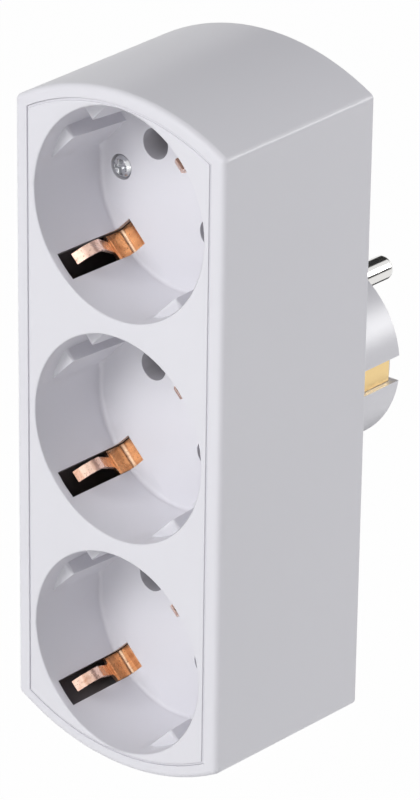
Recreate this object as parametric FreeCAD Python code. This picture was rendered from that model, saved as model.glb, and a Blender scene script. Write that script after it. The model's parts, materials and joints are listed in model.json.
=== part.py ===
import FreeCAD, Part
import math
import os
from FreeCAD import Vector

# Three-way earthed socket adapter. All sizes in millimetres.
# The pieces are drawn about the housing's middle, and moved at the end so that the
# origin is on the plug axis, in the plane of the housing's back.
# X runs across, Y runs from the socket face back towards the wall, Z runs up.

# Housing outline: straight sides and arched ends, flaring from the face to the back
face_width = 48.2
face_height = 130.7
arch_radius = 46.8
body_depth = 40.1
side_flare = 0.22
end_flare = 1.1
edge_radius = 1.2
back_edge = 0.25

# Hood
hood_wall = 2.2
hood_front = 2.0
side_rim = 3.16
end_rim = 2.7
back_lip = 1.35

# Sockets
socket_count = 3
side_border = 4.6
end_border = 3.35
well_gap = 3.5
well_depth = 17.7
well_wall = 1.3
well_edge = 0.35
floor_chamfer = 0.9
floor_thickness = 1.8
pin_line_angle = 135.0
pin_spacing = 19.0
pin_hole_radius = 2.9
pin_tube_wall = 1.1
pin_tube_length = 5.0

# Guide lugs in each well, at both ends of the pin line
lug_drop = 4.1
lug_height = 2.7
lug_draft = 0.6
lug_gap = 5.8
lug_chamfer = 0.6

# Insert panel
panel_thickness = 2.2
seam_width = 0.5
seam_depth = 0.28
seam_clearance = 0.04
flange_width = 2.2
flange_thickness = 1.8
flange_clearance = 0.25

# Earth slots and earth bows
slot_width = 5.3
slot_drop = 1.75
slot_reach = 4.1
slot_recess = 2.5
bow_thickness = 0.65
bow_width = 5.0
tongue_width = 2.2
bow_riser_offset = 1.25
bow_heel_drop = 15.4
bow_apex_reach = 5.6
bow_apex_drop = 6.3
bow_bend_reach = 4.3
bow_bend_drop = 3.9
bow_tip_reach = 2.4
bow_tip_drop = 2.5
bow_shoulder_drop = 14.9
bow_shoulder_round = 1.3
bow_bends = (0.8, 2.2, 1.6, 1.2)
bow_shifts = (0.0, 0.4, 0.05)

# Rear base
base_thickness = 1.9
base_clearance = 0.1
post_offset = (-14.75, 0.35)
post_radius = 2.7
prop_width = 4.4
rib_offset = 2.7
rib_thickness = 0.7
rib_drop = 0.4
fit_gap = 0.05

# Snap hooks at the lower end of the base
hook_spacing = 18.0
hook_width = 6.0
hook_thickness = 1.6
hook_height = 9.2
hook_barb = 0.9
hook_barb_height = 2.4
hook_inset = 1.0

# Plug
plug_radius = 18.5
plug_length = 17.7
plug_lift = 0.6
plug_wall = 2.2
pin_radius = 2.4
pin_root_radius = 2.1
pin_nose = 1.0
pin_length = 19.0
pin_shank_radius = 1.7
pin_head_radius = 2.7
pin_rivet_head = 0.8
pin_clearance = 0.05
boss_wall = 1.45
nose_thickness = 2.4
notch_width = 5.0
notch_depth = 1.3
yoke_thickness = 0.7
yoke_standoff = 1.5
yoke_bend = 1.2
yoke_end_gap = 1.6

# Rails and contacts
rail_thickness = 0.7
rail_width = 5.0
rail_inner_edge = 5.2
rail_clearance = 0.15
rail_tab_radius = 2.9
contact_thickness = 0.6
contact_width = 6.0
contact_drop = 1.2
contact_spread = 3.0
contact_neck = 2.5
contact_mouth_height = 2.3
contact_neck_bend = 1.2
contact_mouth = 3.3
contact_bend = 0.9
contact_foot = 5.2
earth_rail_thickness = 0.8
earth_rail_width = 5.0
earth_rail_overhang = 5.0
link_width = 4.0
link_thickness = 0.8
link_foot = 5.6
link_offset = -3.0
link_bend = 0.7

# Case screw
screw_head_radius = 2.15
screw_head_height = 1.35
screw_head_taper = 0.6
screw_recess_radius = 2.4
screw_recess_depth = 1.1
screw_shank_radius = 1.45
screw_length = 13.0
screw_point = 1.5
screw_clearance = 0.15
thread_clearance = 0.02
cross_width = 0.6
cross_length = 2.8
cross_depth = 0.8

# Planes along Y that several pieces share
y_face = -body_depth
y_flange = y_face + hood_front
y_floor = y_face + well_depth
y_under_floor = y_floor + floor_thickness
y_base = -base_thickness
y_rail_seat = y_base + rail_thickness
y_contact = y_base - contact_thickness
y_bow = y_under_floor + fit_gap
y_earth_rail = y_bow + bow_thickness
y_earth_back = y_earth_rail + earth_rail_thickness
y_contact_tip = y_under_floor + pin_tube_length + contact_drop
y_contact_neck = y_contact_tip + contact_mouth_height
y_nose = plug_length - nose_thickness

# The wells are as large as both the width and the height of the face leave room for
across_room = face_width / 2 - side_border
column_room = face_height / 2 - end_border - (socket_count - 1) * well_gap / 2
well_radius = min(across_room, column_room / socket_count)
socket_pitch = (face_height / 2 - end_border - well_radius) / (socket_count - 1) * 2
sockets = {"upper": socket_pitch, "middle": 0.0, "lower": -socket_pitch}
bow_places = dict(zip(sockets, bow_shifts))
earth_face = plug_radius - notch_depth

across = Vector(1, 0, 0)
back = Vector(0, 1, 0)
up = Vector(0, 0, 1)


def housing_section(y):
    """Outer half width, half height and arch radius of the housing at a depth."""
    share = (y - y_face) / body_depth
    flare = end_flare * share
    return (face_width / 2 + side_flare * share, face_height / 2 + flare, arch_radius + flare)


def inset(section, distance):
    return tuple(value - distance for value in section)


def opening_section():
    """The hood's front opening: its rim is a little narrower on the arches."""
    rim = (side_rim - seam_width / 2, end_rim - seam_width / 2, end_rim - seam_width / 2)
    return tuple(value - width for value, width in zip(housing_section(y_face), rim))


def outline(section, y):
    """Closed outline across the housing: two straight sides and two arches."""
    half_width, half_height, radius = section
    corner = half_height - radius + math.sqrt(radius ** 2 - half_width ** 2)
    ends = [Vector(x, y, z) for x, z in ((-half_width, corner), (half_width, corner),
                                         (half_width, -corner), (-half_width, -corner))]
    arches = [Part.Arc(ends[0], Vector(0, y, half_height), ends[1]),
              Part.Arc(ends[2], Vector(0, y, -half_height), ends[3])]
    sides = [Part.LineSegment(ends[1], ends[2]), Part.LineSegment(ends[3], ends[0])]
    return Part.Wire([edge.toShape() for edge in (arches[0], sides[0], arches[1], sides[1])])


def prism(section, y_low, y_high):
    return Part.Face(outline(section, y_low)).extrude(back * (y_high - y_low))


def flared(distance, y_low, y_high):
    """Housing form, inset by a wall: two tilted sides between two conical ends."""
    front, rear = (inset(housing_section(y), distance) for y in (y_low, y_high))
    sides = [Vector(-front[0], y_low, 0), Vector(front[0], y_low, 0),
             Vector(rear[0], y_high, 0), Vector(-rear[0], y_high, 0)]
    wedge = Part.Face(Part.makePolygon(sides + sides[:1])).extrude(up * face_height)
    centre = Vector(0, y_low, front[1] - front[2])
    cone = Part.makeCone(front[2], rear[2], y_high - y_low, centre, back)
    cone.rotate(centre, back, 180)
    upper = wedge.common(cone)
    return joined([upper, upper.mirror(Vector(0, 0, 0), up)])


def block(x, y, z):
    """Box between pairs of limits."""
    size = [high - low for low, high in (x, y, z)]
    return Part.makeBox(*size, Vector(x[0], y[0], z[0]))


def rod(radius, y_low, y_high, x=0.0, z=0.0):
    return Part.makeCylinder(radius, y_high - y_low, Vector(x, y_low, z), back)


def turned(shape, angle, height=0.0):
    """Copy turned about the well axis, from +X towards +Z, and raised to a well."""
    copy = shape.copy()
    copy.rotate(Vector(0, 0, 0), Vector(0, -1, 0), angle)
    copy.translate(up * height)
    return copy


def mirrored_x(shape):
    return shape.mirror(Vector(0, 0, 0), across)


def joined(shapes):
    first, *others = shapes
    return first.fuse(others).removeSplitter() if others else first


def edges_at(shape, y, radius=None):
    """Edges that lie in one plane across Y, of one radius if that is given."""
    found = []
    for edge in shape.Edges:
        box = edge.BoundBox
        in_plane = abs(box.YMin - y) < 1e-3 and abs(box.YMax - y) < 1e-3
        right_size = radius is None or abs(getattr(edge.Curve, "Radius", 0) - radius) < 1e-3
        if in_plane and right_size:
            found.append(edge)
    return found


def strip_side(route, bends, shift):
    """Edges along one side of a bent strip, shifted off its middle line."""
    points = [Vector(*point, 0) for point in route]
    ways = [(after - before).normalize() for before, after in zip(points, points[1:])]
    normals = [Vector(-way.y, way.x, 0) for way in ways]
    start = points[0] + normals[0] * shift
    edges = []
    for index, bend in enumerate(bends):
        corner = points[index + 1]
        reach = bend * math.tan(ways[index].getAngle(ways[index + 1]) / 2)
        left = 1 if ways[index].cross(ways[index + 1]).z > 0 else -1
        entry = corner - ways[index] * reach
        leave = corner + ways[index + 1] * reach
        centre = entry + normals[index] * left * bend
        outward = (normals[index] + normals[index + 1]).normalize() * -left
        stop = entry + normals[index] * shift
        edges.append(Part.LineSegment(start, stop).toShape())
        start = leave + normals[index + 1] * shift
        edges.append(Part.Arc(stop, centre + outward * (bend - left * shift), start).toShape())
    edges.append(Part.LineSegment(start, points[-1] + normals[-1] * shift).toShape())
    return edges


def strip(route, thickness, bends, width, low):
    """Bent strip: a route in the XY plane with rounded turns, given a width along Z."""
    one, other = (strip_side(route, bends, shift) for shift in (thickness / 2, -thickness / 2))
    ends = [Part.LineSegment(one[0].Vertexes[0].Point, other[0].Vertexes[0].Point).toShape(),
            Part.LineSegment(one[-1].Vertexes[-1].Point, other[-1].Vertexes[-1].Point).toShape()]
    loop = Part.Wire(Part.__sortEdges__(one + other + ends))
    return Part.Face(loop).extrude(up * width).translated(up * low)


def make_hood():
    body = flared(0, y_face, 0)
    corners = [edge for edge in body.Edges if edge.BoundBox.YLength > body_depth / 2]
    body = body.makeFillet(edge_radius, corners + edges_at(body, y_face))
    body = body.makeChamfer(back_edge, edges_at(body, 0))
    cavity = flared(hood_wall, y_flange, y_base)
    seat = prism(inset(housing_section(0), back_lip), y_base, 1)
    opening = prism(opening_section(), y_face - 1, y_flange)
    hood = body.cut([cavity, seat, opening])
    return joined([hood] + [hook_catch(x) for x in (-hook_spacing / 2, hook_spacing / 2)])


def hook_wall(x):
    """Distance from the middle to the hood's inner face beside a hook's barb."""
    half_width, half_height, radius = inset(housing_section(y_base - hook_height), hood_wall)
    return half_height - radius + math.sqrt(radius ** 2 - (abs(x) + hook_width / 2) ** 2)


def hook_catch(x):
    """Ledge inside the hood's lower end that a hook's barb snaps under."""
    top = y_base - hook_height + hook_barb_height + fit_gap
    leg_face = hook_wall(x) - hook_inset
    catch = block((x - hook_width / 2, x + hook_width / 2), (top, top + hook_barb_height),
                  (-leg_face - hook_inset - hood_wall, -leg_face - fit_gap))
    return catch.common(flared(hood_wall / 2, y_face, 0))


def make_lug():
    """One guide lug at +X: a chord across the well with a gap in its middle."""
    top = y_face + lug_drop
    lug_chord = well_radius - lug_height
    side = [Vector(lug_chord, top, 0), Vector(well_radius + 1, top, 0),
            Vector(well_radius + 1, y_floor + floor_thickness / 2, 0),
            Vector(lug_chord - lug_draft, y_floor + floor_thickness / 2, 0)]
    wedge = Part.Face(Part.makePolygon(side + side[:1])).extrude(up * 2 * well_radius)
    wedge.translate(up * -well_radius)
    wedge = wedge.common(rod(well_radius + well_wall / 2, y_face, y_under_floor))
    gap = block((0, well_radius), (y_face, y_under_floor), (-lug_gap / 2, lug_gap / 2))
    lead = [Vector(0, top, lug_gap / 2 + lug_chamfer), Vector(0, top + lug_chamfer, lug_gap / 2),
            Vector(0, top + lug_chamfer, 0), Vector(0, top, 0)]
    bevel = Part.Face(Part.makePolygon(lead + lead[:1])).extrude(across * well_radius)
    return wedge.cut([gap, bevel, bevel.mirror(Vector(0, 0, 0), up)])


def flange_section():
    return inset(housing_section(y_flange), hood_wall + flange_clearance)


def make_panel():
    """Face panel: a plate in the hood's opening, a step for the seam, a flange behind the rim."""
    rear = y_flange + fit_gap
    plate = prism(inset(opening_section(), seam_width), y_face, rear)
    step = prism(inset(opening_section(), seam_clearance), y_face + seam_depth, rear)
    flange = prism(flange_section(), rear, rear + flange_thickness)
    pocket = prism(inset(flange_section(), flange_width), y_face + panel_thickness, y_floor)
    return joined([plate, step, flange]).cut(pocket)


def make_cup(z):
    """Wall and floor of a well, kept within the flange's outline."""
    cup = rod(well_radius + well_wall, y_face + panel_thickness, y_under_floor, z=z)
    return cup.common(prism(flange_section(), y_face, 0))


def make_insert():
    body = joined([make_panel()] + [make_cup(z) for z in sockets.values()])
    well = rod(well_radius, y_face, y_floor)
    well = well.makeChamfer(floor_chamfer, edges_at(well, y_floor))
    body = body.cut([well.translated(up * z) for z in sockets.values()])
    body = body.makeChamfer(well_edge, edges_at(body, y_face, well_radius))
    added, cuts = [], screw_holes()
    for z in sockets.values():
        for angle in (pin_line_angle, pin_line_angle + 180):
            added.append(turned(make_lug(), angle, z))
            added.append(turned(pin_tube(), angle, z))
            cuts.append(turned(pin_hole(), angle, z))
            cuts.append(turned(earth_slot(), angle + 90, z))
    return joined([body] + added).cut(cuts).removeSplitter()


def pin_tube():
    return rod(pin_hole_radius + pin_tube_wall, y_floor + floor_thickness / 2,
               y_under_floor + pin_tube_length, pin_spacing / 2)


def pin_hole():
    return rod(pin_hole_radius, y_floor - 1, y_under_floor + pin_tube_length + 1, pin_spacing / 2)


def earth_slot():
    return block((well_radius - slot_reach, well_radius + slot_recess),
                 (y_face + slot_drop, y_under_floor + 1), (-slot_width / 2, slot_width / 2))


def screw_holes():
    """Recess and hole for the case screw in the floor of the upper well."""
    x, z = screw_place()
    return [rod(screw_recess_radius, y_floor - 1, y_floor + screw_recess_depth, x, z),
            rod(screw_shank_radius + screw_clearance, y_floor, y_under_floor + 1, x, z)]


def screw_place():
    x, lift = post_offset
    return x, sockets["upper"] + lift


def make_earth_bow(name):
    """Strip under the well floor whose two ends rise through the slots as sprung tongues."""
    riser = well_radius + bow_riser_offset
    half = [(well_radius - bow_tip_reach, y_face + bow_tip_drop),
            (well_radius - bow_bend_reach, y_face + bow_bend_drop),
            (well_radius - bow_apex_reach, y_face + bow_apex_drop),
            (riser, y_face + bow_heel_drop), (riser, y_bow + bow_thickness / 2)]
    route = [(-radius, y) for radius, y in half] + half[::-1]
    bends = [*bow_bends, *bow_bends[::-1]]
    bow = strip(route, bow_thickness, bends, bow_width, -bow_width / 2)
    shoulder_y = y_face + bow_shoulder_drop
    side = block((-riser - 1, riser + 1), (y_face, shoulder_y), (tongue_width / 2, bow_width))
    corner = [edge for edge in edges_at(side, shoulder_y)
              if abs(edge.CenterOfMass.z - tongue_width / 2) < 1e-6]
    side = side.makeFillet(bow_shoulder_round, corner)
    bow = bow.cut([side, side.mirror(Vector(0, 0, 0), up)])
    bow.translate(across * bow_places[name])
    return turned(bow, pin_line_angle - 90, sockets[name])


def make_earth_rail():
    """Flat strip that the three bows are welded on."""
    reach = max(sockets.values()) + earth_rail_overhang
    half = earth_rail_width / 2
    rail = block((-half, half), (y_earth_rail, y_earth_back), (-reach, reach))
    return rail.makeFillet(half / 2, [edge for edge in rail.Edges if edge.BoundBox.YLength > 0.1])


def make_earth_link():
    """Strip from the plug yoke, through the base, welded to the back of the earth rail."""
    half = link_thickness / 2
    low = yoke_standoff - half
    high = y_earth_back + half
    height = plug_lift + link_offset
    route = [(high, height - half - link_foot), (high, height), (low, height),
             (low, height + half + link_foot)]
    flat = strip(route, link_thickness, [link_bend, link_bend], link_width, -link_width / 2)
    return flat.transformGeometry(axes_swap())


def axes_swap():
    """Places a strip drawn in XY with width along Z so that it lies in YZ with width along X."""
    return FreeCAD.Matrix(0, 0, 1, 0, 1, 0, 0, 0, 0, 1, 0, 0, 0, 0, 0, 1)


def make_yoke():
    """U of brass strip: a bar behind the base, and two arms in the notches of the plug."""
    middle = earth_face - yoke_thickness / 2
    tip = plug_length - yoke_end_gap
    bar = yoke_standoff + yoke_thickness / 2
    width = notch_width - 2 * fit_gap
    route = [(-middle, tip), (-middle, bar), (middle, bar), (middle, tip)]
    return strip(route, yoke_thickness, [yoke_bend, yoke_bend], width, plug_lift - width / 2)


def pin_height(side):
    """Height of a plug pin: side -1 is the live pole, +1 the neutral pole."""
    return plug_lift - side * pin_spacing / 2


def contact_centres(side):
    """Places of one pole's contacts, one to a well."""
    step = pin_spacing / 2 * math.sin(math.radians(pin_line_angle))
    shift = pin_spacing / 2 * math.cos(math.radians(pin_line_angle))
    return {name: (-side * shift, z - side * step) for name, z in sockets.items()}


def make_contact(side, name):
    """Fork of spring strip, open towards the pin hole, with a foot welded on the rail."""
    x, z = contact_centres(side)[name]
    level = y_contact + contact_thickness / 2
    half = [(contact_mouth, y_contact_tip), (contact_neck, y_contact_neck), (contact_spread, level)]
    route = [(-a, y) for a, y in half] + half[::-1]
    bends = [contact_neck_bend, contact_bend]
    fork = strip(route, contact_thickness, bends + bends[::-1], contact_width, -contact_width / 2)
    edge = contact_spread - contact_bend - contact_thickness / 2
    foot = block((-edge, edge), (y_contact, y_base), (0, contact_width / 2 + contact_foot))
    return joined([fork, foot]).translated(Vector(x, 0, z))


def rail_form(side, grow=0.0):
    """Flat rail in the base with a tab round the shank of its plug pin."""
    ends = [z for _, z in contact_centres(side).values()]
    low = min(ends) - contact_width / 2
    high = max(ends) + contact_width / 2 + contact_foot
    near, far = rail_inner_edge - grow, rail_inner_edge + rail_width + grow
    pin_z = pin_height(side)
    rail = block((near, far), (y_base, y_rail_seat), (low - grow, high + grow))
    arm = block((0, far), (y_base, y_rail_seat),
                (pin_z - rail_tab_radius - grow, pin_z + rail_tab_radius + grow))
    tab = rod(rail_tab_radius + grow, y_base, y_rail_seat, z=pin_z)
    rail = rail if side > 0 else mirrored_x(rail)
    arm = arm if side > 0 else mirrored_x(arm)
    return joined([rail, arm, tab])


def make_rail(side):
    return rail_form(side).cut(rod(pin_shank_radius, y_base - 1, 0, z=pin_height(side)))


def make_plug_pin(side):
    """Turned pin: tapered nose, slimmer root in the plug, shank riveted over the rail."""
    tip = plug_length + pin_length
    head = y_base - pin_rivet_head
    points = [(0, tip), (pin_radius - pin_nose, tip), (pin_radius, tip - pin_nose),
              (pin_radius, plug_length), (pin_root_radius, plug_length), (pin_root_radius, 0),
              (pin_shank_radius, 0), (pin_shank_radius, y_base), (pin_head_radius, y_base),
              (pin_head_radius, head), (0, head), (0, tip)]
    profile = Part.Face(Part.makePolygon([Vector(r, y, 0) for r, y in points]))
    return profile.revolve(Vector(0, 0, 0), back, 360).translated(up * pin_height(side))


def plug_notches():
    """Both side notches of the plug body, right through its wall and open at its end."""
    right = block((plug_radius - plug_wall - 1, plug_radius + 1), (fit_gap, plug_length + 1),
                  (plug_lift - notch_width / 2, plug_lift + notch_width / 2))
    return [right, mirrored_x(right)]


def make_hook(x):
    leg_face = -(hook_wall(x) - hook_inset)
    top = y_base - hook_height
    side = [Vector(x, y_base, leg_face), Vector(x, top + hook_barb_height, leg_face),
            Vector(x, top + hook_barb_height, leg_face - hook_barb), Vector(x, top, leg_face),
            Vector(x, top, leg_face + hook_thickness), Vector(x, y_base, leg_face + hook_thickness)]
    hook = Part.Face(Part.makePolygon(side + side[:1])).extrude(across * hook_width)
    return hook.translated(across * (-hook_width / 2))


def make_barriers():
    """Ribs along both sides of the earth parts, open where each rail's tab passes."""
    reach = max(sockets.values()) + pin_spacing / 2
    ribs = []
    for side in (-1, 1):
        near, far = sorted((side * rib_offset, side * (rib_offset + rib_thickness)))
        rib = block((near, far), (y_contact_neck + rib_drop, y_base + fit_gap), (-reach, reach))
        room = rail_tab_radius + rib_thickness
        ribs.append(rib.cut(block((near - 1, far + 1), (y_contact_neck, 0),
                                  (pin_height(side) - room, pin_height(side) + room))))
    return ribs


def make_prop(x, z, y_top):
    """Square pillar of the base that carries what lies over it."""
    half = prop_width / 2
    return block((x - half, x + half), (y_top + fit_gap, y_base + fit_gap), (z - half, z + half))


def make_posts():
    """Round post for the case screw, props under the wells and two under the earth rail."""
    props = [make_prop(0, side * socket_pitch / 2, y_earth_back) for side in (-1, 1)]
    x, lift = post_offset
    for name, z in sockets.items():
        props.append(make_prop(-x, z - lift, y_under_floor))
        if name != "upper":
            props.append(make_prop(x, z + lift, y_under_floor))
    return props + [rod(post_radius, y_under_floor + fit_gap, y_base + fit_gap, *screw_place())]


def plug_ring():
    ring = rod(plug_radius, -fit_gap, plug_length, z=plug_lift)
    bore = rod(plug_radius - plug_wall, -1, plug_length + 1, z=plug_lift)
    return ring.cut([bore] + plug_notches())


def base_openings():
    """Room in the base for the pins, the rails, the earth link and the case screw's core."""
    heights = [pin_height(side) for side in (-1, 1)]
    openings = [rod(pin_root_radius + pin_clearance, 0, plug_length, z=z) for z in heights]
    openings += [rod(pin_shank_radius, y_base - 1, 1, z=z) for z in heights]
    openings += [rail_form(side, rail_clearance) for side in (-1, 1)]
    openings.append(rod(screw_shank_radius + thread_clearance, y_under_floor - 1,
                        y_floor + screw_recess_depth + screw_length + 1, *screw_place()))
    half_width = link_width / 2 + rail_clearance
    half = link_thickness / 2 + rail_clearance
    height = plug_lift + link_offset
    openings.append(block((-half_width, half_width), (y_base - 1, 1), (height - half, height + half)))
    return openings


def make_base():
    plate = prism(inset(housing_section(0), back_lip + base_clearance), y_base, 0)
    boss_radius = pin_root_radius + pin_clearance + boss_wall
    bosses = [rod(boss_radius, -fit_gap, y_nose - fit_gap, z=pin_height(side)) for side in (-1, 1)]
    hooks = [make_hook(side * hook_spacing / 2) for side in (-1, 1)]
    pieces = [plate, plug_ring()] + bosses + make_posts() + hooks + make_barriers()
    return joined(pieces).cut(base_openings())


def make_nose():
    """Disc that closes the plug body, with guide holes for the pins."""
    nose = rod(plug_radius - plug_wall - base_clearance, y_nose, plug_length, z=plug_lift)
    return nose.cut([rod(pin_root_radius + pin_clearance, y_nose - 1, plug_length + 1, z=pin_height(side))
                     for side in (-1, 1)])


def make_screw():
    """Pan-head case screw with a cross recess, seated in the floor of the upper well."""
    seat = y_floor + screw_recess_depth
    top = seat - screw_head_height
    end = seat + screw_length
    points = [(0, top), (screw_head_radius - screw_head_taper, top),
              (screw_head_radius, top + screw_head_taper), (screw_head_radius, seat),
              (screw_shank_radius, seat), (screw_shank_radius, end - screw_point), (0, end), (0, top)]
    profile = Part.Face(Part.makePolygon([Vector(r, y, 0) for r, y in points]))
    half, reach = cross_width / 2, cross_length / 2
    arms = [block((-reach, reach), (top - 1, top + cross_depth), (-half, half)),
            block((-half, half), (top - 1, top + cross_depth), (-reach, reach))]
    x, z = screw_place()
    return profile.revolve(Vector(0, 0, 0), back, 360).cut(arms).translated(Vector(x, 0, z))


def make_parts():
    parts = {"housing_hood": make_hood(), "socket_insert": make_insert(), "rear_base": make_base(),
             "plug_nose": make_nose(), "plug_earth_yoke": make_yoke(), "earth_link": make_earth_link(),
             "earth_rail": make_earth_rail(), "case_screw": make_screw()}
    for side, pole in ((-1, "live"), (1, "neutral")):
        parts["plug_pin_" + pole] = make_plug_pin(side)
        parts[pole + "_rail"] = make_rail(side)
        for name in sockets:
            parts[pole + "_contact_" + name] = make_contact(side, name)
    for name in sockets:
        parts["earth_bow_" + name] = make_earth_bow(name)
    return parts


os.makedirs("parts", exist_ok=True)
for node, shape in make_parts().items():
    shape.translate(up * -plug_lift)
    shape.exportStep("parts/" + node + ".step")
    box = shape.BoundBox
    print(node, len(shape.Solids), "solids", round(shape.Volume, 2), "mm3", shape.isValid(),
          [round(v, 2) for v in (box.XMin, box.XMax, box.YMin, box.YMax, box.ZMin, box.ZMax)])
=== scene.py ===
import json
from math import cos, pi, radians, sin

import bmesh
import bpy
from mathutils import Matrix, Vector


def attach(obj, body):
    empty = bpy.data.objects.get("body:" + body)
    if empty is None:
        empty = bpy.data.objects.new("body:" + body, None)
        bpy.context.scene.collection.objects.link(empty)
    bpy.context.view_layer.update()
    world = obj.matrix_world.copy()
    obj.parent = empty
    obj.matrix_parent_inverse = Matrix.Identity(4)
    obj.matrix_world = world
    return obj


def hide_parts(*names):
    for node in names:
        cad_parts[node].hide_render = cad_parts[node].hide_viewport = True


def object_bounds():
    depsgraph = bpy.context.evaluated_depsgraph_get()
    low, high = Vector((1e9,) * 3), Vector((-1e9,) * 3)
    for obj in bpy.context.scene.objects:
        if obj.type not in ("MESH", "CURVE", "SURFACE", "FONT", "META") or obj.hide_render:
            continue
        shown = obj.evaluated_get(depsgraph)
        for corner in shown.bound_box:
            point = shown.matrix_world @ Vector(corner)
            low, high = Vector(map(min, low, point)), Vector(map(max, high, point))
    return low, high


# Three-way earthed socket adapter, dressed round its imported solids. Lengths in metres.
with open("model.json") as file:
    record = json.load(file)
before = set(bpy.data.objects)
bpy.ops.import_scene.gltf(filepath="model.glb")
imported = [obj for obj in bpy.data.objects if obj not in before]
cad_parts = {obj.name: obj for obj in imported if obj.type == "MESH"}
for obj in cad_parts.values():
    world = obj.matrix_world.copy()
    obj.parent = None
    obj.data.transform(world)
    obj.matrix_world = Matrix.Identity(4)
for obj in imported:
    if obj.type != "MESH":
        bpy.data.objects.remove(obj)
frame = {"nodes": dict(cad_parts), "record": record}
cad_low, cad_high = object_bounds()
record = frame["record"]

mm = 0.001
body = "root"

# Camera, fitted to the photograph
camera_place = Vector((0.43606, -0.53278, 0.3010))
camera_azimuth = 40.074
camera_elevation = 24.055
camera_roll = 0.816
camera_focal_length = 184.12
camera_sensor = 36

# Studio
floor_drop = 0.16
floor_reach = 6.0
floor_colour = (0.80, 0.80, 0.80)
floor_whiteness = 0.985
ambient_level = 0.17
card_colour = (0.03, 0.03, 0.03)
matt = 0.9
studio_aim = Vector((0, -0.02, 0))

# Places on the solids, from the frame
sockets = {mount["name"]: Vector(mount["pos_m"])
           for mount in record["mounts"] if mount["name"].endswith("_socket")}
face_depth = cad_low.y
floor_depth = sockets["middle_socket"].y
housing_middle = sockets["middle_socket"].z
socket_pitch = sockets["upper_socket"].z - housing_middle

# Sizes of the solids that the finishes are bounded by
front_thickness = 2.05 * mm
panel_thickness = 1.9 * mm
well_radius = 19.5 * mm
inner_half_width = 23.0 * mm
arch_centre = 18.55 * mm
inner_arch_radius = 46.2 * mm
tongue_end = 11.5 * mm
broad_end_start = 14.5 * mm

# Distance by which a finish stops short of the surface that it mustn't reach
hair = 0.15 * mm

# Share of the painted shade in the pin holes and in the seam groove, where shade falls
hole_painted_shade = 0.25
seam_painted_shade = 0.12
seam_reach = 0.42 * mm

# Colours of the finishes
plastic_light = (0.760, 0.755, 0.800)
plastic_deep = (0.735, 0.730, 0.778)
# Colour of the painted shade on hidden inner faces, slots, holes and the seam groove
painted_shade = (0.24, 0.22, 0.23)
bronze_pink = (0.98, 0.69, 0.56)
bronze_gold = (0.98, 0.67, 0.45)
bronze_tarnish = (0.50, 0.22, 0.12)
bronze_speck = (0.22, 0.12, 0.06)
brass_light = (0.96, 0.73, 0.37)
brass_deep = (0.84, 0.62, 0.30)
nickel_light = (0.80, 0.79, 0.77)
nickel_deep = (0.76, 0.75, 0.74)
zinc_light = (0.76, 0.77, 0.78)
zinc_deep = (0.60, 0.61, 0.63)

# Gloss of the finishes
plastic_roughness = 0.33
plain_sheen = 0.5
plug_sheen = 1.0
pin_roughness = 0.12
screw_roughness = 0.20
brass_roughness = 0.24
rail_roughness = 0.30
bow_roughness = 0.22
contact_roughness = 0.25

# Grain of the finishes: noise cells in a metre
cloud_cells = 22
moulded_cells = 2600
line_cells = 900
wave_cells = 430
band_cells = 700
speck_cells = 2300
ring_cells = 900
plating_cells = 60

# Depth of the bumps, and the height of the lines beside the waves
moulded_bump = 0.004 * mm
strip_bump = 0.36 * mm
ring_bump = 0.001 * mm
line_height = 0.03

# Roughness that a pattern adds at its fullest
grain_roughness = 0.08
line_roughness = 0.12
ring_roughness = 0.05

# Noise values between which a pattern fades in, and its share of the colour
wave_fade = (0.40, 0.60)
band_fade = (0.52, 0.62)
band_share = 0.5
line_fade = (0.50, 0.66)
line_share = 0.3
speck_fade = (0.62, 0.70)
speck_share = 0.6

# Turns of the patterns, as the bows lie at 45 degrees to the housing, and how far each is drawn out
bow_turn = (0, -pi / 4, 0)
no_turn = (0, 0, 0)
line_stretch = (14, 1, 1)
band_stretch = (1, 12, 12)
ring_stretch = (12, 1, 12)

# Widths of the rounded edges, in millimetres
edge_widths = {"housing_hood": 0.12, "socket_insert": 0.07, "rear_base": 0.12, "plug_nose": 0.12,
               "plug_earth_yoke": 0.10, "plug_pin_live": 0.4, "plug_pin_neutral": 0.4, "case_screw": 0.12,
               "earth_bow_upper": 0.07, "earth_bow_middle": 0.07, "earth_bow_lower": 0.07}

# Edges that turn more than this are rounded; the insert's chamfers are shaded smooth
plain_crease = radians(28)
insert_crease = radians(50)

# Points of a solid's surface that are nearer than this are one point
same_point = 0.0005 * mm
hood_sliver = 0.05 * mm


class Value:
    """A shader output that takes part in plain arithmetic."""

    def __init__(self, nodes, socket):
        self.nodes = nodes
        self.socket = socket

    def __add__(self, other):
        return self.nodes.math("ADD", self, other)

    def __radd__(self, other):
        return self.nodes.math("ADD", other, self)

    def __sub__(self, other):
        return self.nodes.math("SUBTRACT", self, other)

    def __rsub__(self, other):
        return self.nodes.math("SUBTRACT", other, self)

    def __mul__(self, other):
        return self.nodes.math("MULTIPLY", self, other)

    def __rmul__(self, other):
        return self.nodes.math("MULTIPLY", other, self)


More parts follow.
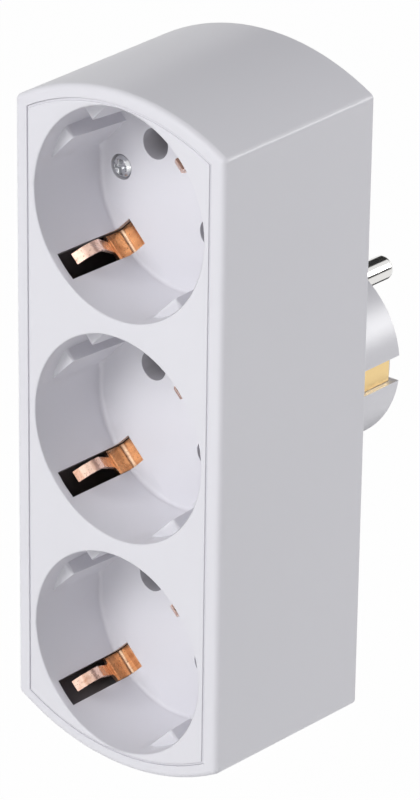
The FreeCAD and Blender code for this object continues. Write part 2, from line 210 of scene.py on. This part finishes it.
class Nodes:
    """The shader nodes of a material or of the world."""

    def __init__(self, tree):
        self.tree = tree

    def node(self, kind, settings, sockets, outputs=(0,)):
        """Any node: its settings first, then the values or links of its sockets."""
        made = self.tree.nodes.new(kind)
        for name, value in settings.items():
            setattr(made, name, value)
        for name, value in sockets.items():
            self.feed(made.inputs[name], value)
        values = [Value(self, made.outputs[output]) for output in outputs]
        return values if len(values) > 1 else values[0]

    def feed(self, socket, value):
        if isinstance(value, Value):
            self.tree.links.new(value.socket, socket)
        else:
            socket.default_value = value

    def math(self, operation, first, second=0.0):
        return self.node("ShaderNodeMath", {"operation": operation}, {0: first, 1: second})

    def background_share(self, level):
        """The level where the background is seen directly, in a mirror or through glass, else 0."""
        rays = ("Is Camera Ray", "Is Glossy Ray", "Is Transmission Ray")
        seen, mirrored, through = self.node("ShaderNodeLightPath", {}, {}, rays)
        return self.math("MAXIMUM", self.math("MAXIMUM", seen, mirrored), through) * level

    def whiten(self, shade, white, level, output):
        """Gives the background its white look without more light on the adapter."""
        sockets = {0: self.background_share(level), 1: shade, 2: white}
        self.feed(output.inputs["Surface"], self.node("ShaderNodeMixShader", {}, sockets))


class Finish(Nodes):
    """A material with one main shader and the nodes that vary it."""

    def __init__(self, name, colour, roughness, metallic=0.0):
        self.material = bpy.data.materials.new(name)
        self.material.use_nodes = True
        super().__init__(self.material.node_tree)
        self.shader = self.tree.nodes["Principled BSDF"]
        self.set("Base Color", (*colour, 1))
        self.set("Roughness", roughness)
        self.set("Metallic", metallic)
        self.place = self.node("ShaderNodeTexCoord", {}, {}, ("Object",))

    def set(self, name, value):
        self.feed(self.shader.inputs[name], value)

    def coordinates(self):
        """Object coordinates x, y and z, in metres."""
        return self.node("ShaderNodeSeparateXYZ", {}, {"Vector": self.place}, ("X", "Y", "Z"))

    def above(self, value, limit):
        """1 where the value is over the limit, else 0."""
        return self.math("GREATER_THAN", value, limit)

    def length(self, first, second):
        """Length of the vector that has these two parts."""
        return self.math("SQRT", first * first + second * second)

    def noise(self, cells, detail, place=None):
        sockets = {"Vector": place or self.place, "Scale": cells, "Detail": detail}
        return self.node("ShaderNodeTexNoise", {}, sockets)

    def mapped(self, turn, stretch):
        """Object coordinates turned and stretched, for a pattern with a direction."""
        sockets = {"Vector": self.place, "Rotation": turn, "Scale": stretch}
        return self.node("ShaderNodeMapping", {"vector_type": "TEXTURE"}, sockets)

    def span(self, value, low, high):
        """The value stretched so that low gives 0 and high gives 1, held between them."""
        sockets = {"Value": value, "From Min": low, "From Max": high}
        return self.node("ShaderNodeMapRange", {"clamp": True}, sockets)

    def blend(self, share, first, second):
        """Colours mixed by a share from 0 to 1."""
        first = first if isinstance(first, Value) else (*first, 1)
        second = second if isinstance(second, Value) else (*second, 1)
        sockets = {0: share, 6: first, 7: second}
        return self.node("ShaderNodeMix", {"data_type": "RGBA"}, sockets, (2,))

    def bump(self, height, depth):
        sockets = {"Height": height, "Distance": depth, "Strength": 1.0}
        self.set("Normal", self.node("ShaderNodeBump", {}, sockets))


def moulded_plastic(name, shade=None, sheen=plain_sheen):
    """Pale grey-white plastic with a smooth, slightly uneven moulded gloss."""
    finish = Finish(name, plastic_light, plastic_roughness)
    finish.set("Specular IOR Level", sheen)
    colour = finish.blend(finish.noise(cloud_cells, detail=1.0), plastic_deep, plastic_light)
    # Painted shade: darkens the faces that the share function picks, where little light reaches
    if shade:
        colour = finish.blend(shade(finish), colour, painted_shade)
    finish.set("Base Color", colour)
    grain = finish.noise(moulded_cells, detail=1.0)
    finish.set("Roughness", plastic_roughness + grain * grain_roughness)
    finish.bump(grain, moulded_bump)
    return finish.material


def inside_hood(finish):
    """Share of painted shade: full on the hood's inner faces, behind its front, none outside."""
    x, y, z = finish.coordinates()
    lift = finish.math("ABSOLUTE", z - housing_middle) - arch_centre
    inner_side = 1 - finish.above(finish.math("ABSOLUTE", x), inner_half_width)
    inner_arch = 1 - finish.above(finish.length(x, lift), inner_arch_radius)
    return inner_side * inner_arch * finish.above(y, face_depth + front_thickness)


def inside_insert(finish):
    """Share of painted shade: full in the slots and behind the wells, some in the holes and the seam."""
    x, y, z = finish.coordinates()
    height = finish.node("ShaderNodeMath", {"operation": "WRAP"},
                         {0: z - housing_middle, 1: socket_pitch / 2, 2: -socket_pitch / 2})
    radius = finish.length(x, height)
    behind = finish.above(radius, well_radius + hair) * finish.above(y, face_depth + panel_thickness)
    hole = finish.above(y, floor_depth + hair) * hole_painted_shade
    seam = finish.above(radius, well_radius + seam_reach) * finish.above(y, face_depth + hair) * seam_painted_shade
    return finish.math("MAXIMUM", behind, finish.math("MAXIMUM", hole, seam))


def on_broad_end(finish):
    """Share of an earth bow's second colour: none on its tongues, full on its broad ends."""
    depth = finish.coordinates()[1]
    return finish.span(depth, face_depth + tongue_end, face_depth + broad_end_start)


def rolled_strip(name, light, deep, tarnish, speck, roughness, shade=None):
    """Bright rolled strip, a little wavy, with lines along the bow, tarnished bands and specks."""
    finish = Finish(name, light, roughness, 1.0)
    lines = finish.noise(line_cells, detail=3.0, place=finish.mapped(bow_turn, line_stretch))
    across = finish.mapped(bow_turn, band_stretch)
    waves = finish.noise(wave_cells, detail=1.0, place=across)
    bands = finish.noise(band_cells, detail=1.0, place=across)
    share = shade(finish) if shade else finish.span(waves, *wave_fade)
    bright = finish.blend(share, light, deep)
    tint = finish.span(bands, *band_fade) * band_share + finish.span(lines, *line_fade) * line_share
    stained = finish.blend(tint, bright, tarnish)
    specks = finish.span(finish.noise(speck_cells, detail=2.0), *speck_fade) * speck_share
    finish.set("Base Color", finish.blend(specks, stained, speck))
    finish.set("Roughness", roughness + lines * line_roughness)
    finish.bump(waves + lines * line_height, strip_bump)
    return finish.material


def bronze_strip(name, light, deep, roughness, shade=None):
    return rolled_strip(name, light, deep, bronze_tarnish, bronze_speck, roughness, shade)


def turned_metal(name, light, deep, roughness):
    """Plated metal with the fine rings that turning leaves along its axis."""
    finish = Finish(name, light, roughness, 1.0)
    rings = finish.noise(ring_cells, detail=2.0, place=finish.mapped(no_turn, ring_stretch))
    finish.set("Base Color", finish.blend(finish.noise(plating_cells, detail=1.0), light, deep))
    finish.set("Roughness", roughness + rings * ring_roughness)
    finish.bump(rings, ring_bump)
    return finish.material


def make_finishes():
    # The hood and the insert carry painted shade on their hidden and recessed faces
    return {"housing": moulded_plastic("hood plastic", inside_hood),
            "insert": moulded_plastic("insert plastic", inside_insert),
            "base": moulded_plastic("base plastic", sheen=plug_sheen),
            "nose": moulded_plastic("nose plastic"),
            "card": Finish("dark card", card_colour, matt).material,
            "nickel": turned_metal("nickel-plated pin", nickel_light, nickel_deep, pin_roughness),
            "screw_steel": turned_metal("zinc-plated screw", zinc_light, zinc_deep, screw_roughness),
            "brass": rolled_strip("brass strip", brass_light, brass_deep, brass_deep, brass_deep,
                                  brass_roughness),
            "copper_rail": bronze_strip("copper rail", bronze_pink, bronze_gold, rail_roughness),
            "earth_bronze": bronze_strip("earth bow bronze", bronze_pink, bronze_gold, bow_roughness,
                                         on_broad_end),
            "contact_bronze": bronze_strip("contact bronze", bronze_gold, bronze_pink, contact_roughness)}


def link_to_scene(name, data):
    thing = bpy.data.objects.new(name, data)
    bpy.context.scene.collection.objects.link(thing)
    return thing


def mesh_from(shape, name):
    """Closes the bmesh and gives its shape as a mesh."""
    mesh = bpy.data.meshes.new(name)
    shape.to_mesh(mesh)
    shape.free()
    return mesh


def merged_copy(node):
    """The node's surface as one mesh, with its loose triangles joined."""
    shape = bmesh.new()
    shape.from_mesh(frame["nodes"][node].data)
    bmesh.ops.remove_doubles(shape, verts=shape.verts, dist=same_point)
    if node == "housing_hood":
        # A sliver in a corner fillet would fold when the edges are rounded
        bmesh.ops.dissolve_degenerate(shape, dist=hood_sliver, edges=shape.edges)
    return mesh_from(shape, node)


def shade_by(mesh, crease):
    """Smooth shading that stops at edges that turn more than the crease."""
    mesh.shade_smooth()
    mesh.set_sharp_from_angle(angle=crease)


def round_edges(piece, width, crease):
    bevel = piece.modifiers.new("rounded edges", "BEVEL")
    bevel.width = width
    bevel.segments = 3
    bevel.limit_method = "ANGLE"
    bevel.angle_limit = crease
    bevel.use_clamp_overlap = False
    bevel.harden_normals = False


def keep_flats(piece):
    """Keeps large flat faces flat in the shading beside rounded edges."""
    weigh = piece.modifiers.new("flat faces stay flat", "WEIGHTED_NORMAL")
    weigh.keep_sharp = True


def dress(node, slot, width, crease):
    """Stands a copy of a solid, with its sharp edges rounded, in the solid's place."""
    mesh = merged_copy(node)
    shade_by(mesh, crease)
    mesh.materials.append(finishes[slot])
    piece = link_to_scene("fine_" + node, mesh)
    round_edges(piece, width, crease)
    # The bends of the earth bows run smoothly into their flats, so their shading isn't weighted
    if slot != "earth_bronze":
        keep_flats(piece)
    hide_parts(node)
    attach(piece, body)


def dress_solids():
    slots = {row["node"]: row["material_slot"] for row in record["subparts"]}
    for node, solid in frame["nodes"].items():
        solid.data.materials.clear()
        solid.data.materials.append(finishes[slots[node]])
    for node, width in edge_widths.items():
        crease = insert_crease if node == "socket_insert" else plain_crease
        dress(node, slots[node], width * mm, crease)


def make_world():
    world = bpy.data.worlds.new("studio")
    bpy.context.scene.world = world
    world.use_nodes = True
    nodes = Nodes(world.node_tree)
    ambient = world.node_tree.nodes["Background"]
    ambient.inputs["Color"].default_value = (1, 1, 1, 1)
    ambient.inputs["Strength"].default_value = ambient_level
    white = nodes.node("ShaderNodeBackground", {}, {"Color": (1, 1, 1, 1), "Strength": 1})
    output = world.node_tree.nodes["World Output"]
    nodes.whiten(Value(nodes, ambient.outputs[0]), white, 1.0, output)


def make_floor():
    shape = bmesh.new()
    bmesh.ops.create_circle(shape, cap_ends=True, segments=64, radius=floor_reach)
    bmesh.ops.translate(shape, vec=Vector((0, 0, cad_low.z - floor_drop)), verts=shape.verts)
    mesh = mesh_from(shape, "studio floor")
    finish = Finish("studio floor", floor_colour, matt)
    finish.set("Specular IOR Level", 0.0)
    white = finish.node("ShaderNodeEmission", {}, {"Strength": 1})
    output = finish.tree.nodes["Material Output"]
    finish.whiten(Value(finish, finish.shader.outputs[0]), white, floor_whiteness, output)
    mesh.materials.append(finish.material)
    link_to_scene("studio_floor", mesh)


def direction(azimuth, elevation):
    """Unit vector from the adapter; azimuth 0 is straight in front of the face."""
    turned, raised = radians(azimuth), radians(elevation)
    return Vector((sin(turned) * cos(raised), -cos(turned) * cos(raised), sin(raised)))


def add_lamp(name, azimuth, elevation, distance, size, power, mirrored=True):
    """Soft square lamp aimed at the adapter."""
    lamp = bpy.data.lights.new(name, "AREA")
    lamp.size = size
    lamp.energy = power
    way = direction(azimuth, elevation)
    thing = link_to_scene(name, lamp)
    thing.location = studio_aim + way * distance
    thing.rotation_mode = "QUATERNION"
    thing.rotation_quaternion = (-way).to_track_quat("-Z", "Y")
    thing.visible_glossy = mirrored


def add_card(name, azimuth, elevation, distance, width, height):
    """Dark studio card that faces the adapter and gives its metal something to mirror."""
    way = direction(azimuth, elevation)
    turn = way.to_track_quat("Z", "Y").to_matrix().to_4x4()
    place = Matrix.Translation(studio_aim + way * distance) @ turn
    shape = bmesh.new()
    bmesh.ops.create_grid(shape, x_segments=1, y_segments=1, size=0.5)
    bmesh.ops.scale(shape, vec=Vector((width, height, 1)), verts=shape.verts)
    bmesh.ops.transform(shape, matrix=place, verts=shape.verts)
    mesh = mesh_from(shape, name)
    mesh.materials.append(finishes["card"])
    card = link_to_scene(name, mesh)
    card.visible_camera = False


def make_lamps():
    # Most of the key's light isn't mirrored, so that the bright metal keeps its colour
    add_lamp("key softbox", azimuth=-8, elevation=33, distance=1.8, size=0.9, power=19.3, mirrored=False)
    add_lamp("key glow", azimuth=-8, elevation=33, distance=1.7, size=0.85, power=3.2)
    add_lamp("low front fill", azimuth=32, elevation=-14, distance=1.2, size=0.6, power=4.0)
    add_lamp("back right softbox", azimuth=135, elevation=18, distance=1.2, size=0.45, power=6.0)


def make_cards():
    add_card("card_back_left", azimuth=200, elevation=35, distance=1.4, width=1.05, height=1.1)
    add_card("card_back_right", azimuth=138, elevation=-4, distance=1.6, width=0.6, height=0.5)
    add_card("card_below", azimuth=200, elevation=-34, distance=0.3, width=0.16, height=0.1)


def make_camera():
    data = bpy.data.cameras.new("photograph camera")
    data.sensor_width = camera_sensor
    data.lens = camera_focal_length
    camera = link_to_scene("photograph camera", data)
    turn = (Matrix.Rotation(radians(camera_azimuth), 4, "Z")
            @ Matrix.Rotation(radians(90 - camera_elevation), 4, "X")
            @ Matrix.Rotation(radians(camera_roll), 4, "Z"))
    camera.matrix_world = Matrix.Translation(camera_place) @ turn
    bpy.context.scene.camera = camera


finishes = make_finishes()
dress_solids()
make_world()
make_floor()
make_lamps()
make_cards()
make_camera()
bpy.context.scene.view_settings.view_transform = "Standard"
